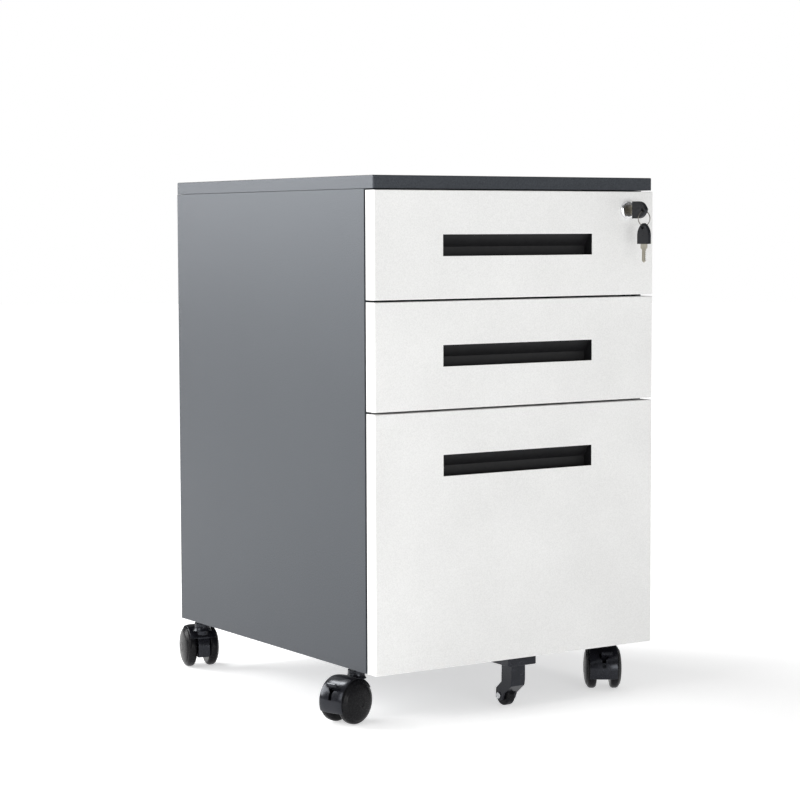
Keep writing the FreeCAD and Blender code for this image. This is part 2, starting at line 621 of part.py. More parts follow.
def brake_lever():
    """Lever in the hood's recess: a neck on its pivot and a wide foot tab outside."""
    turn = -LEVER_ANGLE
    reach = HOOD_R - LEVER_PIVOT_R
    neck = Part.makeBox(reach + 2.0, 7.0, 4.0, FreeCAD.Vector(0, -3.5, -2.0))
    boss = Part.makeCylinder(2.0, 7.0, FreeCAD.Vector(0, -3.5, 0), FreeCAD.Vector(0, 1, 0))
    tab = Part.makeBox(7.0, 13.0, 4.4, FreeCAD.Vector(reach + 1.6, -3.5, -2.2))
    tab = tab.makeFillet(1.2, [e for e in tab.Edges if e.BoundBox.XMin > reach + 8.0])
    lever = neck.fuse([boss, tab]).removeSplitter()
    lever.rotate(FreeCAD.Vector(0, 0, 0), FreeCAD.Vector(0, 1, 0), turn)
    lever.translate(FreeCAD.Vector(*polar(LEVER_PIVOT_R, LEVER_ANGLE)))
    return lever


def place_caster(shape, corner):
    """Turn a caster part to its trailing direction and move it under its corner."""
    x = STEM_X if corner.endswith("right") else -STEM_X
    y = STEM_FRONT if corner.startswith("front") else STEM_REAR
    placed = shape.copy()
    placed.rotate(FreeCAD.Vector(0, 0, 0), FreeCAD.Vector(0, 0, 1), CASTER_TURN[corner])
    placed.translate(FreeCAD.Vector(x, depth(y), 0))
    return placed


def save_casters():
    wheel = revolve_wheel()
    far_wheel = wheel.mirror(FreeCAD.Vector(0, 0, 0), FreeCAD.Vector(0, 1, 0))
    axle = across(AXLE_R, HOOD_HALF - 0.4)
    for corner in CASTER_TURN:
        name = "caster_" + corner
        save(name + "_hood", place_caster(caster_hood(corner in BRAKED), corner))
        save(name + "_axle", place_caster(axle, corner))
        save(name + "_wheel_a", place_caster(wheel, corner))
        save(name + "_wheel_b", place_caster(far_wheel, corner))
        if corner in BRAKED:
            save(name + "_brake_lever", place_caster(brake_lever(), corner))


# ---- anti-tip wheel under the file drawer ----
def tip_bracket():
    """Base under the file drawer's front, a neck that sweeps back, a fork, and the axle."""
    half, fork = TIP_BASE / 2.0, TIP_WHEEL_W / 2.0 + 4.0
    pad_y = FRONT_T - 0.6
    y0, y1 = TIP_Y - half, TIP_Y + half
    base_z, lift = BASE_Z - 9.5, 0.8
    base = box(TIP_X - half, TIP_X + half, y0, y1, base_z, BASE_Z - lift)
    base = base.makeFillet(3.0, [e for e in base.Edges if e.BoundBox.ZLength > 5.0])
    pad = box(TIP_X - half + 3.5, TIP_X + half - 3.5, y0 + 3.5, pad_y, BASE_Z - lift, BASE_Z)
    wheel_y = TIP_Y + TIP_BACK
    front, rear = TIP_Y - 10.0, TIP_Y + 10.0
    outline = [(front, base_z), (rear, base_z), (rear + 0.5, 30.0), (wheel_y + 6.0, TIP_WHEEL_Z + 8.0),
               (wheel_y + 6.5, TIP_WHEEL_Z - 2.5), (wheel_y, TIP_WHEEL_Z - 6.5),
               (wheel_y - 6.0, TIP_WHEEL_Z - 4.5), (wheel_y - 9.5, TIP_WHEEL_Z + 3.0),
               (front + 1.5, 27.0), (front, 34.0)]
    neck = prism([(TIP_X - fork, depth(y), z) for y, z in outline], (2.0 * fork, 0, 0))
    middle = (TIP_X - fork, depth(wheel_y), TIP_WHEEL_Z)
    room = cylinder(TIP_WHEEL_R + 1.0, TIP_WHEEL_W + 1.0,
                    (TIP_X - TIP_WHEEL_W / 2.0 - 0.5, depth(wheel_y), TIP_WHEEL_Z), (1, 0, 0))
    bracket = base.fuse([pad, neck]).cut(room)
    bracket = bracket.cut(cylinder(TIP_AXLE_R, 2.0 * fork, middle, (1, 0, 0)))
    head_r, head_t = 3.6, 1.5
    head = cylinder(head_r, head_t, (TIP_X - fork - head_t, depth(wheel_y), TIP_WHEEL_Z), (1, 0, 0))
    tail = cylinder(head_r, head_t, (TIP_X + fork, depth(wheel_y), TIP_WHEEL_Z), (1, 0, 0))
    rivet = cylinder(TIP_AXLE_R, 2.0 * fork, middle, (1, 0, 0)).fuse([head, tail])
    return Part.makeCompound([bracket.removeSplitter(), rivet])


def tip_wheel():
    half = TIP_WHEEL_W / 2.0
    start = (TIP_X - half, depth(TIP_Y + TIP_BACK), TIP_WHEEL_Z)
    wheel = cylinder(TIP_WHEEL_R, TIP_WHEEL_W, start, (1, 0, 0))
    wheel = wheel.makeFillet(2.5, [e for e in wheel.Edges if e.Length > 50.0])
    return wheel.cut(cylinder(TIP_AXLE_R + RUN, TIP_WHEEL_W, start, (1, 0, 0)))


def build():
    os.makedirs("parts", exist_ok=True)
    right = side_panel()
    save("side_panel_right", right)
    save("side_panel_left", mirror_x(right))
    save("back_panel", back_panel())
    save("top_cover", top_cover())
    save("bottom_panel", bottom_panel())
    save("front_rail", front_rail())
    save("slide_posts", slide_posts())
    save("caster_channels", caster_channels())
    save("caster_stems", caster_stems())
    box_slide(1)
    box_slide(2)
    file_slide(3)
    for number in DRAWERS:
        save("drawer_%d_front" % number, drawer_front(number))
        save("drawer_%d_handle_cup" % number, handle_cup(number))
        save("drawer_%d_tray" % number, drawer_tray(number))
    save("file_bars", file_bars())
    save("lock_housing", lock_housing())
    save("lock_plug", lock_plug())
    save("lock_cam", lock_cam())
    save("locking_bar", locking_bar())
    save("locking_bar_guides", locking_bar_guides())
    save("key_blade", in_lock(key_blade()))
    save("key_head", in_lock(key_head()))
    save("key_ring", key_ring())
    save("spare_key_blade", on_ring(key_blade()))
    save("spare_key_head", on_ring(key_head()))
    save_casters()
    save("anti_tip_bracket", tip_bracket())
    save("anti_tip_wheel", tip_wheel())


build()
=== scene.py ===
import json
import math
import random

import bmesh
import bpy
from mathutils import Matrix, Quaternion, Vector

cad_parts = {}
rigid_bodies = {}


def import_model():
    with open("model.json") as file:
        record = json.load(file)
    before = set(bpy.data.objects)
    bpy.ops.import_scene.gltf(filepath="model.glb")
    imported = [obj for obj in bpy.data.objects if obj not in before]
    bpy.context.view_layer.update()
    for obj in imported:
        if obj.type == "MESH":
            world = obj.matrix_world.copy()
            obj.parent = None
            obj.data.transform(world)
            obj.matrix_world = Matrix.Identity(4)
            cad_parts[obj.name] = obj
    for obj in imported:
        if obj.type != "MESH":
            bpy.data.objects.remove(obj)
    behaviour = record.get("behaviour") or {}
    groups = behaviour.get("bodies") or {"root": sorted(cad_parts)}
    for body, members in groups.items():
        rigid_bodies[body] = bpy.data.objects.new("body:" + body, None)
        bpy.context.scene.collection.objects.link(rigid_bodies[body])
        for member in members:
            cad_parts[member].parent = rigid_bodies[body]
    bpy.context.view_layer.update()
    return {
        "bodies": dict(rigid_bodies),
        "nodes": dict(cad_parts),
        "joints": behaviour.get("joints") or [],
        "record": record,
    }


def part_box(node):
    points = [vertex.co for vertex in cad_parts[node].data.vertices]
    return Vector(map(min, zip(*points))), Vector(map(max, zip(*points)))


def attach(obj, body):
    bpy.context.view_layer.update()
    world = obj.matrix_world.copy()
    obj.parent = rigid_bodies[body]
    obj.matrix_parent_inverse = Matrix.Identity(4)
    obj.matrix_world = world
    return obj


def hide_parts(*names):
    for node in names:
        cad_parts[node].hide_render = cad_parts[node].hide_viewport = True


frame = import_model()
NODES = frame["nodes"]
RECORD = frame["record"]
MM = 0.001

# ---- places read from the CAD ----
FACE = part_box("drawer_1_front")[0].y
DRAWERS = (1, 2, 3)
SIDES = (-1, 1)
SHEET_T = 0.8 * MM
OUTER_WALL = 1.2 * MM
FOLD_RADIUS = 0.38 * MM
FOLD_RADIUS_THIN = 0.2 * MM
WELD_GAP = 0.01 * MM
SHARP_ANGLE = 32.0       # edges sharper than this, in degrees, are broken by a bevel
CAM_THICK = 2.5 * MM
SINK = 0.05 * MM         # how far a pressed bead sinks into its sheet


# ---- materials ----
class Shader:
    """A Principled material with helpers for its procedural nodes."""

    def __init__(self, name, roughness, metallic=0.0, **sockets):
        self.mat = bpy.data.materials.new(name)
        self.mat.use_nodes = True
        self.nodes = self.mat.node_tree.nodes
        self.links = self.mat.node_tree.links
        self.bsdf = self.nodes["Principled BSDF"]
        self.bsdf.inputs["Roughness"].default_value = roughness
        self.bsdf.inputs["Metallic"].default_value = metallic
        for socket, value in sockets.items():
            self.bsdf.inputs[socket.replace("_", " ")].default_value = value
        self.coords = self.nodes.new("ShaderNodeTexCoord").outputs["Object"]

    def noise(self, scale, detail, roughness=0.55, stretch=(1, 1, 1)):
        mapping = self.nodes.new("ShaderNodeMapping")
        mapping.inputs["Scale"].default_value = stretch
        self.links.new(self.coords, mapping.inputs["Vector"])
        node = self.nodes.new("ShaderNodeTexNoise")
        node.inputs["Scale"].default_value = scale
        node.inputs["Detail"].default_value = detail
        node.inputs["Roughness"].default_value = roughness
        self.links.new(mapping.outputs["Vector"], node.inputs["Vector"])
        return node.outputs["Fac"]

    def ramp(self, value, low, high, stops=(0.3, 0.7)):
        """Colour or grey between two values, as a texture value goes between two stops."""
        node = self.nodes.new("ShaderNodeValToRGB")
        for element, stop, color in zip(node.color_ramp.elements, stops, (low, high)):
            element.position = stop
            element.color = (*color, 1.0) if hasattr(color, "__len__") else (color, color, color, 1.0)
        self.links.new(value, node.inputs["Fac"])
        return node.outputs["Color"]

    def multiply(self, a, b):
        node = self.nodes.new("ShaderNodeMix")
        node.data_type = "RGBA"
        node.blend_type = "MULTIPLY"
        node.inputs["Factor"].default_value = 1.0
        self.links.new(a, node.inputs["A"])
        self.links.new(b, node.inputs["B"])
        return node.outputs["Result"]

    def color(self, value):
        self.links.new(value, self.bsdf.inputs["Base Color"])
        return self

    def rough(self, value):
        self.links.new(value, self.bsdf.inputs["Roughness"])
        return self

    def bump(self, value, strength, distance):
        node = self.nodes.new("ShaderNodeBump")
        node.inputs["Strength"].default_value = strength
        node.inputs["Distance"].default_value = distance
        previous = self.bsdf.inputs["Normal"].links
        if previous:
            self.links.new(previous[0].from_socket, node.inputs["Normal"])
        self.links.new(value, node.inputs["Height"])
        self.links.new(node.outputs["Normal"], self.bsdf.inputs["Normal"])
        return self


def powder_coat(name, low, high, roughness, **sockets):
    """Baked powder coat: orange peel about a millimetre across, a finer grain, and slow drifts in tone."""
    shader = Shader(name, roughness, **sockets)
    grain = shader.ramp(shader.noise(900.0, 2.0), low, high, (0.32, 0.68))
    drift = shader.ramp(shader.noise(9.0, 3.0), 0.94, 1.0)
    shader.color(shader.multiply(grain, drift))
    shader.rough(shader.ramp(shader.noise(700.0, 3.0), roughness - 0.06, roughness + 0.06))
    shader.bump(shader.noise(620.0, 2.0), 0.22, 0.00012)
    return shader.bump(shader.noise(2400.0, 2.0), 0.2, 0.00005).mat


def moulded(name, low, high, roughness, grain=0.15, **sockets):
    """Moulded plastic with a fine spark-eroded grain and small changes in gloss."""
    shader = Shader(name, roughness, **sockets)
    shader.color(shader.ramp(shader.noise(160.0, 4.0), low, high))
    shader.rough(shader.ramp(shader.noise(420.0, 3.0), roughness - 0.04, roughness + 0.06))
    return shader.bump(shader.noise(3200.0, 2.0), grain, 0.00001).mat


def plated(name, low, high, roughness, stretch=(1, 1, 1)):
    """Plated steel: faint clouds in tone and gloss, with drawing lines where it is stretched."""
    shader = Shader(name, roughness, 1.0)
    shader.color(shader.ramp(shader.noise(60.0, 5.0), low, high))
    shader.rough(shader.ramp(shader.noise(500.0, 4.0, 0.6, stretch), roughness - 0.03, roughness + 0.05))
    return shader.bump(shader.noise(1500.0, 3.0, 0.5, stretch), 0.08, 0.00001).mat


MATERIALS = {
    "graphite_powder_coat": powder_coat(
        "graphite_powder_coat", (0.014, 0.016, 0.019), (0.042, 0.045, 0.050), 0.42,
        Specular_Tint=(0.80, 0.88, 1.0, 1.0), Specular_IOR_Level=0.58),
    "white_powder_coat": powder_coat("white_powder_coat", (0.77, 0.77, 0.76), (0.86, 0.86, 0.85), 0.48),
    "zinc_plated_steel": plated("zinc_plated_steel", (0.58, 0.59, 0.61), (0.66, 0.67, 0.69), 0.30,
                                stretch=(1, 0.05, 1)),
    "black_abs": moulded("black_abs", (0.006, 0.006, 0.007), (0.010, 0.010, 0.011), 0.5, 0.3,
                         Specular_IOR_Level=0.35),
    "black_nylon": moulded("black_nylon", (0.006, 0.006, 0.008), (0.010, 0.010, 0.013), 0.2, 0.08,
                           Specular_Tint=(0.85, 0.9, 1.0, 1.0), Specular_IOR_Level=0.34),
    "wheel_tread": moulded("wheel_tread", (0.005, 0.005, 0.006), (0.008, 0.008, 0.009), 0.26, 0.08,
                           Specular_IOR_Level=0.12),
    "chrome": plated("chrome", (0.78, 0.78, 0.79), (0.86, 0.86, 0.87), 0.09),
    "nickel_key": plated("nickel_key", (0.40, 0.38, 0.32), (0.55, 0.52, 0.45), 0.3),
    "key_plastic": moulded("key_plastic", (0.008, 0.009, 0.012), (0.014, 0.015, 0.019), 0.3, 0.2,
                           Specular_IOR_Level=0.3),
    # darker nickel: on the lock plug it is painted shade of the plug's recess; the key ring uses it as a
    # darker metal
    "dark_nickel": plated("dark_nickel", (0.12, 0.11, 0.10), (0.20, 0.19, 0.17), 0.3),
    "acetal": moulded("acetal", (0.66, 0.66, 0.63), (0.74, 0.74, 0.71), 0.4),
}


def dress_nodes():
    """Give each CAD node the material of its slot; the plug's face gets a darker, duller nickel than the
    lock's rim, as painted shade for its recessed face.
    """
    for part in RECORD["subparts"]:
        node = NODES[part["node"]]
        # the lock plug's darker nickel is painted shade for its recessed face, not a colour of its own
        look = "dark_nickel" if part["node"] == "lock_plug" else part["material_slot"]
        node.data.materials.clear()
        node.data.materials.append(MATERIALS[look])


dress_nodes()


# ---- mesh helpers ----
def finish_piece(obj, body, slot, replaces):
    """Dress a new object, let it ride on its body, and hide the CAD nodes it replaces."""
    if not obj.data.materials:
        obj.data.materials.append(MATERIALS[slot])
    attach(obj, body)
    if replaces:
        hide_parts(*replaces)
    return obj


def shade(mesh, angle=35.0):
    mesh.shade_smooth()
    mesh.set_sharp_from_angle(angle=math.radians(angle))


def mesh_of(name, bm):
    mesh = bpy.data.meshes.new(name)
    bmesh.ops.recalc_face_normals(bm, faces=bm.faces)
    bm.to_mesh(mesh)
    bm.free()
    shade(mesh)
    return mesh


def add(name, mesh, body, slot, at=None, replaces=()):
    obj = bpy.data.objects.new(name, mesh)
    bpy.context.scene.collection.objects.link(obj)
    obj.matrix_world = at or Matrix.Identity(4)
    return finish_piece(obj, body, slot, replaces)


def bevel(obj, width, segments=2):
    """Break an object's sharp edges, as a press or a mould does."""
    weld = obj.modifiers.new("weld", "WELD")
    weld.merge_threshold = WELD_GAP
    modifier = obj.modifiers.new("bevel", "BEVEL")
    modifier.width = width
    modifier.segments = segments
    modifier.limit_method = "ANGLE"
    modifier.angle_limit = math.radians(SHARP_ANGLE)
    return obj


def arc(cx, cy, radius, start, end, steps=8):
    """Points on an arc, from a start to an end angle in degrees."""
    turns = [math.radians(start + (end - start) * i / steps) for i in range(steps + 1)]
    return [(cx + radius * math.cos(t), cy + radius * math.sin(t)) for t in turns]


def lathe(profile, segments):
    """Revolve (radius, height) points, in millimetres, about Z."""
    bm = bmesh.new()
    rings = []
    for radius, height in profile:
        if radius < 1e-6:
            rings.append([bm.verts.new((0, 0, height * MM))])
            continue
        turns = [2.0 * math.pi * i / segments for i in range(segments)]
        rings.append([bm.verts.new((radius * MM * math.cos(t), radius * MM * math.sin(t), height * MM))
                      for t in turns])
    for low, high in zip(rings, rings[1:]):
        for i in range(segments):
            j = (i + 1) % segments
            quad = [low[i % len(low)], low[j % len(low)], high[j % len(high)], high[i % len(high)]]
            corners = list(dict.fromkeys(quad))
            if len(corners) > 2:
                bm.faces.new(corners)
    return bm


def slab(outline, thickness):
    """Flat piece with an outline in X and Y, centred on Z 0, in millimetres."""
    bm = bmesh.new()
    low = [bm.verts.new((x * MM, y * MM, -thickness / 2 * MM)) for x, y in outline]
    high = [bm.verts.new((x * MM, y * MM, thickness / 2 * MM)) for x, y in outline]
    bm.faces.new(low[::-1])
    bm.faces.new(high)
    count = len(outline)
    for i in range(count):
        j = (i + 1) % count
        bm.faces.new((low[i], low[j], high[j], high[i]))
    return bm


def moved(bm, matrix):
    bmesh.ops.transform(bm, matrix=matrix, verts=bm.verts)
    return bm


def baked(obj):
    """Mesh of an object with its modifiers applied; the object is removed."""
    graph = bpy.context.evaluated_depsgraph_get()
    mesh = bpy.data.meshes.new_from_object(obj.evaluated_get(graph))
    bpy.data.objects.remove(obj)
    return mesh


def loose(name, mesh):
    obj = bpy.data.objects.new(name, mesh)
    bpy.context.scene.collection.objects.link(obj)
    return obj


def softened(name, bm, voxel, passes):
    """Mesh of closed parts that run together with soft corners, as in one moulding."""
    raw = loose(name, mesh_of(name, bm))
    remesh = raw.modifiers.new("remesh", "REMESH")
    remesh.mode = "VOXEL"
    remesh.voxel_size = voxel * MM
    soften = raw.modifiers.new("soften", "SMOOTH")
    soften.iterations = passes
    return baked(raw)


def join(bm, part):
    """Add one bmesh to another."""
    mesh = bpy.data.meshes.new("part")
    part.to_mesh(mesh)
    part.free()
    bm.from_mesh(mesh)
    bpy.data.meshes.remove(mesh)


def pin(radius, low, high):
    """Closed round bar about Z, between two heights."""
    return lathe([(0, low), (radius, low), (radius, high), (0, high)], 48)


def cutter(name, bm, target):
    """Cut a closed bmesh out of an object."""
    tool = loose(name, mesh_of(name, bm))
    modifier = target.modifiers.new(name, "BOOLEAN")
    modifier.operation = "DIFFERENCE"
    modifier.object = tool
    modifier.solver = "EXACT"
    return tool


def cut_mesh(obj, tools):
    """Mesh of an object after its cutters have worked; they are removed with it."""
    mesh = baked(obj)
    for tool in tools:
        bpy.data.objects.remove(tool)
    return mesh


# ---- casters ----
WHEEL_R = 25.0
TRAIL = 17.0
WEB_HALF = 7.2
HOOD_HALF = 16.5
HOOD_R = 27.2
HOOD_T = 1.6
BAND_START = -23.5       # the band's lower edge behind the wheels, in degrees from +X
BAND_SWEEP = 174.0
BAND_STEPS = 58
BAND_STRIPS = 22
OUTER_DROP = 1.1         # how far each skin curves down towards the band's edges
INNER_DROP = 0.35
SKIRT_Z = 14.0
COLLAR_TOP = 57.0
COLLAR_GAP = 0.05        # keeps the collar clear of the stem's flange above it
LEVER_ANGLE = 38.0
LEVER_PIVOT_R = 17.0
STEM_BORE_R = 4.2
WELL_R = 5.4             # the well in the hood that the brake lever's neck sits in
SLOT_WIDTH = 4.4
NECK_WIDTH = 6.6
FOOT_WIDTH = 12.6
FOOT_SHIFT = 3.0 * MM
TURN_TO_AXLE = Matrix.Rotation(math.radians(-90.0), 4, "X")
UPRIGHT = Matrix.Rotation(math.radians(90.0), 4, "X")    # stands a slab up in the X-Z plane


def joint_place(name):
    return Vector(next(j["pos_m"] for j in frame["joints"] if j["name"] == name))


def caster_matrix(corner):
    """Frame of a caster: stem on Z, wheels behind it on +X."""
    stem = joint_place(corner + "_swivel")
    wheel = joint_place(corner + "_wheel_a_roll")
    turn = math.atan2(wheel.y - stem.y, wheel.x - stem.x)
    return Matrix.Translation((stem.x, stem.y, 0)) @ Matrix.Rotation(turn, 4, "Z")


def wheel_mesh():
    """Wheel with a rounded tread, a ring groove and a domed face; its axle is Z, from the middle plane."""
    inner = [(3.2, 8.0), (20.9, 8.0)] + arc(20.9, 12.1, 4.1, -90, 0)
    outer = arc(20.2, 14.4, 4.75, 0, 62) + [(21.7, 18.9), (21.2, 19.1), (20.8, 19.7)]
    dome = [(19.5, 20.3), (16.0, 21.2), (11.0, 21.9), (6.2, 22.3), (5.9, 22.1), (5.3, 22.1),
            (5.0, 22.35), (0.0, 22.45)]
    return mesh_of("wheel", lathe(inner + outer + dome, 128))


def polar(radius, angle):
    turn = math.radians(angle)
    return Vector(((TRAIL + radius * math.cos(turn)) * MM, 0, (WHEEL_R + radius * math.sin(turn)) * MM))


def hood_band(bm):
    """Shell over both wheels: a grid of angle and width, with an outer and an inner skin."""
    angles = [BAND_START + BAND_SWEEP * i / BAND_STEPS for i in range(BAND_STEPS + 1)]
    widths = [HOOD_HALF * (2 * i / BAND_STRIPS - 1) for i in range(BAND_STRIPS + 1)]
    skins = []
    for inward, edge_drop in ((0.0, OUTER_DROP), (HOOD_T, INNER_DROP)):
        grid = []
        for angle in angles:
            row = []
            for y in widths:
                crown = edge_drop * (abs(y) / HOOD_HALF) ** 4
                point = polar(HOOD_R - inward - crown, angle)
                row.append(bm.verts.new((point.x, y * MM, point.z)))
            grid.append(row)
        skins.append(grid)
    outer, inner = skins
    rows, cols = len(angles), len(widths)
    for i in range(rows - 1):
        for j in range(cols - 1):
            bm.faces.new((outer[i][j], outer[i][j + 1], outer[i + 1][j + 1], outer[i + 1][j]))
            bm.faces.new((inner[i][j], inner[i + 1][j], inner[i + 1][j + 1], inner[i][j + 1]))
        for j in (0, cols - 1):
            bm.faces.new((outer[i][j], outer[i + 1][j], inner[i + 1][j], inner[i][j]))
    for j in range(cols - 1):
        for i in (0, rows - 1):
            bm.faces.new((outer[i][j], inner[i][j], inner[i][j + 1], outer[i][j + 1]))


def hood_web(bm):
    """Solid middle of the hood, from the skirt line up, on the wheel axis."""
    rim = HOOD_R - 1.0
    low = math.degrees(math.asin((SKIRT_Z - WHEEL_R) / rim))
    outline = arc(TRAIL, WHEEL_R, rim, low, 180.0 - low, 60)
    join(bm, moved(slab(outline, 2.0 * WEB_HALF), UPRIGHT))


def hood_collar(bm):
    """Collar round the stem, flared where it meets the band."""
    top = COLLAR_TOP - COLLAR_GAP
    profile = [(0.0, 42.0), (7.0, 42.0), (7.0, 46.6), (11.6, 47.0), (10.6, 48.6), (9.9, 50.6), (9.6, 53.0),
               (9.6, 56.2), (9.3, 56.8), (8.6, top), (0.0, top)]
    join(bm, lathe(profile, 64))


def hood_mesh(braked):
    """Moulded hood: band, web and collar run together with soft corners, then its holes."""
    bm = bmesh.new()
    hood_band(bm)
    hood_web(bm)
    hood_collar(bm)
    hood = loose("hood", softened("hood_raw", bm, voxel=0.42, passes=5))
    tools = [cutter("stem_bore", pin(STEM_BORE_R, 39.0, 60.0), hood)]
    if braked:
        way = polar(HOOD_R, LEVER_ANGLE) - polar(0, LEVER_ANGLE)
        aim = way.to_track_quat("Z", "Y").to_matrix().to_4x4()
        well = moved(pin(WELL_R, 13.8, 31.0), Matrix.Translation(polar(0, 0)) @ aim)
        tools.append(cutter("lever_well", well, hood))
        corners = (polar(31, 8), polar(21, 8), polar(21, LEVER_ANGLE), polar(31, LEVER_ANGLE))
        slot = moved(slab([(p.x / MM, p.z / MM) for p in corners], SLOT_WIDTH), UPRIGHT)
        tools.append(cutter("lever_slot", slot, hood))
    mesh = cut_mesh(hood, tools)
    shade(mesh, 42.0)
    return mesh


def lever_mesh():
    """Brake lever: a neck in the well and a wide foot tab, along +X from its pivot."""
    reach = HOOD_R - LEVER_PIVOT_R
    outline = [(-2, -1.9), (reach + 1.8, -1.9), (reach + 8.2, -2.1), (reach + 8.6, 0.2),
               (reach + 8.0, 2.0), (reach + 1.8, 1.7), (-2, 1.7)]
    neck = moved(slab(outline, NECK_WIDTH), UPRIGHT)
    tab = [(reach + 1.9, -2.0), (reach + 8.2, -2.2), (reach + 8.8, 0.2), (reach + 8.2, 2.1),
           (reach + 1.9, 1.9)]
    foot = moved(slab(tab, FOOT_WIDTH), Matrix.Translation((0, FOOT_SHIFT, 0)) @ UPRIGHT)
    join(neck, foot)
    mesh = softened("lever_raw", neck, voxel=0.22, passes=4)
    shade(mesh, 60.0)
    return mesh


def casters():
    wheel = wheel_mesh()
    hoods = {True: hood_mesh(True), False: hood_mesh(False)}
    lever = lever_mesh()
    for corner in [b for b in frame["bodies"] if b.endswith(("_left", "_right"))]:
        base = caster_matrix(corner)
        braked = corner + "_brake_lever" in NODES
        add(corner + "_hood_moulding", hoods[braked], corner, "black_nylon", base, [corner + "_hood"])
        axle = base @ Matrix.Translation((TRAIL * MM, 0, WHEEL_R * MM))
        for side, half_turn in (("a", 0.0), ("b", 180.0)):
            at = axle @ Matrix.Rotation(math.radians(half_turn), 4, "Z") @ TURN_TO_AXLE
            name = "%s_wheel_%s" % (corner, side)
            add(name + "_moulding", wheel, name, "wheel_tread", at, [name])
        if braked:
            at = base @ Matrix.Translation(polar(LEVER_PIVOT_R, LEVER_ANGLE))
            at = at @ Matrix.Rotation(math.radians(-LEVER_ANGLE), 4, "Y")
            add(corner + "_brake_moulding", lever, corner + "_brake", "black_nylon", at,
                [corner + "_brake_lever"])


casters()


# ---- soft edges on the CAD sheets and mouldings ----
SHEET_NODES = ("side_panel_left", "side_panel_right", "back_panel", "top_cover", "bottom_panel",
               "front_rail", "slide_posts", "caster_channels", "file_bars", "locking_bar")
MOULDED_EDGES = {"drawer_1_handle_cup": 0.35, "drawer_2_handle_cup": 0.35, "drawer_3_handle_cup": 0.35,
                 "locking_bar_guides": 0.8, "key_head": 0.9, "spare_key_head": 0.9, "lock_cam": 0.3,
                 "caster_stems": 0.5, "lock_plug": 0.25}


def soften_edges():
    for name in SHEET_NODES:
        bevel(NODES[name], FOLD_RADIUS)
    for number in DRAWERS:
        for part in ("front", "tray", "slide_inner", "slide_outer"):
            bevel(NODES["drawer_%d_%s" % (number, part)], FOLD_RADIUS_THIN)
    for name, width in MOULDED_EDGES.items():
        bevel(NODES[name], width * MM, 3)


soften_edges()


# ---- small repeated parts ----
def copies(name, mesh, body, slot, places):
    """One piece made of many copies of a mesh."""
    bm = bmesh.new()
    for place in places:
        part = bmesh.new()
        part.from_mesh(mesh)
        join(bm, moved(part, place))
    out = bpy.data.meshes.new(name)
    bm.to_mesh(out)
    bm.free()
    shade(out, 40.0)
    return add(name, out, body, slot)


def facing(x, y, z, way):
    """Matrix that puts a mesh at a place in metres, with its Z axis along a direction."""
    return Matrix.Translation((x, y, z)) @ Vector(way).to_track_quat("Z", "Y").to_matrix().to_4x4()


def screw_mesh(radius, height, recess=True):
    """Pan head with a rounded rim and a cross recess; the bearing face is Z 0."""
    profile = [(0.0, 0.0), (radius, 0.0), (radius, height * 0.3), (radius * 0.93, height * 0.6),
               (radius * 0.76, height * 0.86), (radius * 0.5, height * 0.97), (0.0, height)]
    head = loose("screw", mesh_of("screw", lathe(profile, 32)))
    if not recess:
        return baked(head)
    tools = []
    for turn in (0.0, 90.0):
        arm, reach = radius * 0.13, radius * 0.58
        bar = slab([(-reach, -arm), (reach, -arm), (reach, arm), (-reach, arm)], height)
        moved(bar, Matrix.Rotation(math.radians(turn), 4, "Z") @ Matrix.Translation((0, 0, height * MM)))
        tools.append(cutter("recess_%d" % turn, bar, head))
    return cut_mesh(head, tools)


SCREW = screw_mesh(3.4, 1.7)
RIVET = screw_mesh(3.0, 0.9, recess=False)
FLAT_RIVET = screw_mesh(3.0, 0.5, recess=False)
RIVET_INSET = 30.0 * MM
FRONT_RIVET_INSET = 22.0 * MM


# ---- drawer slides: balls and rivets ----
BALL_PITCH = 7.2
# for each ball cage: its body, the balls' radius, distance from the middle plane, and height off the middle
BALL_ROWS = {"drawer_1_slide_cages": ("cages_1", 2.4, 175.5, 18.75),
             "drawer_2_slide_cages": ("cages_2", 2.4, 175.5, 18.75),
             "drawer_3_slide_outer_cages": ("outer_cages_3", 1.6, 175.2, 19.5),
             "drawer_3_slide_inner_cages": ("inner_cages_3", 1.6, 173.6, 14.85)}


def slide_balls():
    for node, (body, radius, x, rise) in BALL_ROWS.items():
        bm = bmesh.new()
        bmesh.ops.create_icosphere(bm, subdivisions=2, radius=radius * MM)
        ball = mesh_of("ball", bm)
        low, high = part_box(node)
        middle = (low.z + high.z) / 2.0
        count = int((high.y - low.y) / (BALL_PITCH * MM))
        start = (low.y + high.y) / 2.0 - (count - 1) * BALL_PITCH * MM / 2.0
        places = [Matrix.Translation((side * x * MM, start + i * BALL_PITCH * MM, middle + up * rise * MM))
                  for side in SIDES for up in SIDES for i in range(count)]
        copies(node.replace("cages", "balls"), ball, body, "zinc_plated_steel", places)


def slide_rivets():
    """Rivets that hold the inner members on the trays and the outer members on the posts."""
    case = []
    for number in DRAWERS:
        low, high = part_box("drawer_%d_slide_outer" % number)
        z = (low.z + high.z) / 2.0
        tray_half = -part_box("drawer_%d_tray" % number)[0].x
        places = []
        for side in SIDES:
            for y in (low.y + RIVET_INSET, (low.y + high.y) / 2.0, high.y - RIVET_INSET):
                places.append(facing(side * (tray_half - SHEET_T), y, z, (-side, 0, 0)))
            for y in (low.y + FRONT_RIVET_INSET, high.y - RIVET_INSET):
                case.append(facing(side * (high.x - OUTER_WALL), y, z, (-side, 0, 0)))
        copies("drawer_%d_slide_rivets" % number, RIVET, "drawer_%d" % number, "zinc_plated_steel", places)
    copies("case_slide_rivets", FLAT_RIVET, "cabinet", "zinc_plated_steel", case)


slide_balls()
slide_rivets()


